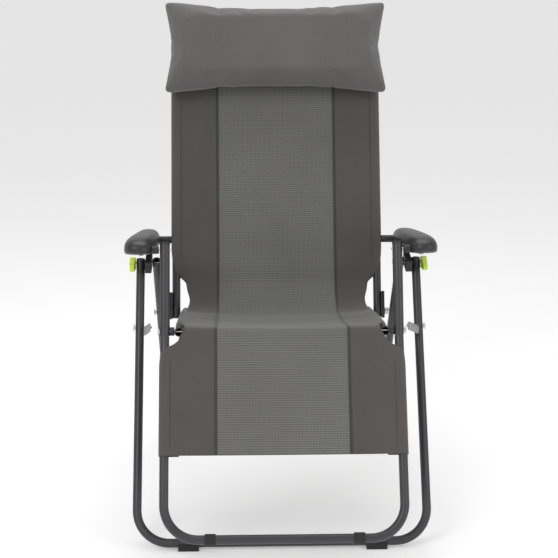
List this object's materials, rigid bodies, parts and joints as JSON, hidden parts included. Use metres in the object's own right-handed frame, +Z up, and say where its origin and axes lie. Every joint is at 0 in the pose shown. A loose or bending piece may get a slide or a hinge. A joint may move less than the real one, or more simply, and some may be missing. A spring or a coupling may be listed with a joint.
{
  "type": "zero gravity recliner",
  "caption": "Folding-frame reclining lounge chair with a mesh sling, head pillow, armrests with lock levers, and a leg rest that rises as the back goes down.",
  "frame": {"origin": "centre of the footprint, on the ground", "axes": "+Z up, the chair faces -Y, +X across the seat"},
  "size_m": [0.672, 0.9178, 1.1246],
  "materials": {
    "tube": "satin powder coat",
    "light_tube": "satin powder coat",
    "strap_steel": "satin",
    "steel": "plated",
    "pad_rubber": "matt",
    "black_plastic": "fine grain",
    "armrest_plastic": "fine grain",
    "lime_plastic": "gloss",
    "sling_fabric": "woven",
    "mesh_fabric": "open weave",
    "pillow_fabric": "woven",
    "webbing": "woven"
  },
  "bodies": {
    "base": {"rear_leg": "tube", "rear_feet": "pad_rubber", "armrest_pins": "steel", "slide_blocks": "black_plastic", "hip_pins": "steel", "hip_spacers": "steel"},
    "front": {"front_leg": "light_tube", "front_feet": "pad_rubber", "link_bolts": "steel"},
    "seat": {"seat_rails": "tube", "seat_sling": "sling_fabric", "knee_pins": "steel", "knee_spacers": "black_plastic"},
    "back": {"back_frame": "tube", "hip_sockets": "black_plastic", "elbow_pins": "steel", "elbow_washers": "steel", "back_sling": "sling_fabric", "head_pillow": "pillow_fabric", "pillow_strap": "webbing"},
    "leg_rest": {"leg_rest_frame": "light_tube", "leg_rest_uprights": "light_tube", "leg_rest_caps": "black_plastic", "leg_rest_pads": "pad_rubber", "front_arm_pins": "steel", "leg_sling": "sling_fabric"},
    "armrests": {"armrest_core_left": "strap_steel", "armrest_core_right": "strap_steel", "armrest_shell_left": "armrest_plastic", "armrest_shell_right": "armrest_plastic"},
    "links": {"link_straps": "strap_steel"},
    "lever_left": {"lock_lever_left": "lime_plastic"},
    "lever_right": {"lock_lever_right": "lime_plastic"}
  },
  "joints": [
    {"name": "fold", "type": "hinge", "parent": "base", "child": "front", "pos_m": [0, 0.0059, 0.555], "axis": [1, 0, 0], "range_deg": [0, 56]},
    {"name": "seat_tilt", "type": "hinge", "parent": "base", "child": "seat", "pos_m": [0, 0.12263, 0.41148], "axis": [-1, 0, 0], "range_deg": [0, 17.7]},
    {"name": "recline", "type": "hinge", "parent": "seat", "child": "back", "pos_m": [0, 0.12263, 0.41148], "axis": [-1, 0, 0], "range_deg": [0, 34]},
    {"name": "knee_turn", "type": "hinge", "parent": "seat", "child": "leg_rest", "pos_m": [0, -0.25169, 0.46408], "axis": [-1, 0, 0], "range_deg": [0, 34]},
    {"name": "elbow_turn", "type": "hinge", "parent": "back", "child": "armrests", "pos_m": [0, 0.17863, 0.5741], "axis": [-1, 0, 0], "range_deg": [-34, 0]},
    {"name": "link_swing", "type": "hinge", "parent": "front", "child": "links", "pos_m": [0, -0.06886, 0.42496], "axis": [-1, 0, 0], "range_deg": [0, 34]},
    {"name": "lock_left", "type": "hinge", "parent": "base", "child": "lever_left", "pos_m": [0, 0.0059, 0.555], "axis": [-1, 0, 0], "range_deg": [-35, 0]},
    {"name": "lock_right", "type": "hinge", "parent": "base", "child": "lever_right", "pos_m": [0, 0.0059, 0.555], "axis": [-1, 0, 0], "range_deg": [-35, 0]}
  ],
  "couplings": [
    {"joint": "seat_tilt", "follows": "recline", "ratio": 0.518},
    {"joint": "knee_turn", "follows": "recline", "ratio": 1},
    {"joint": "elbow_turn", "follows": "recline", "ratio": -1},
    {"joint": "link_swing", "follows": "recline", "ratio": 0.965}
  ]
}
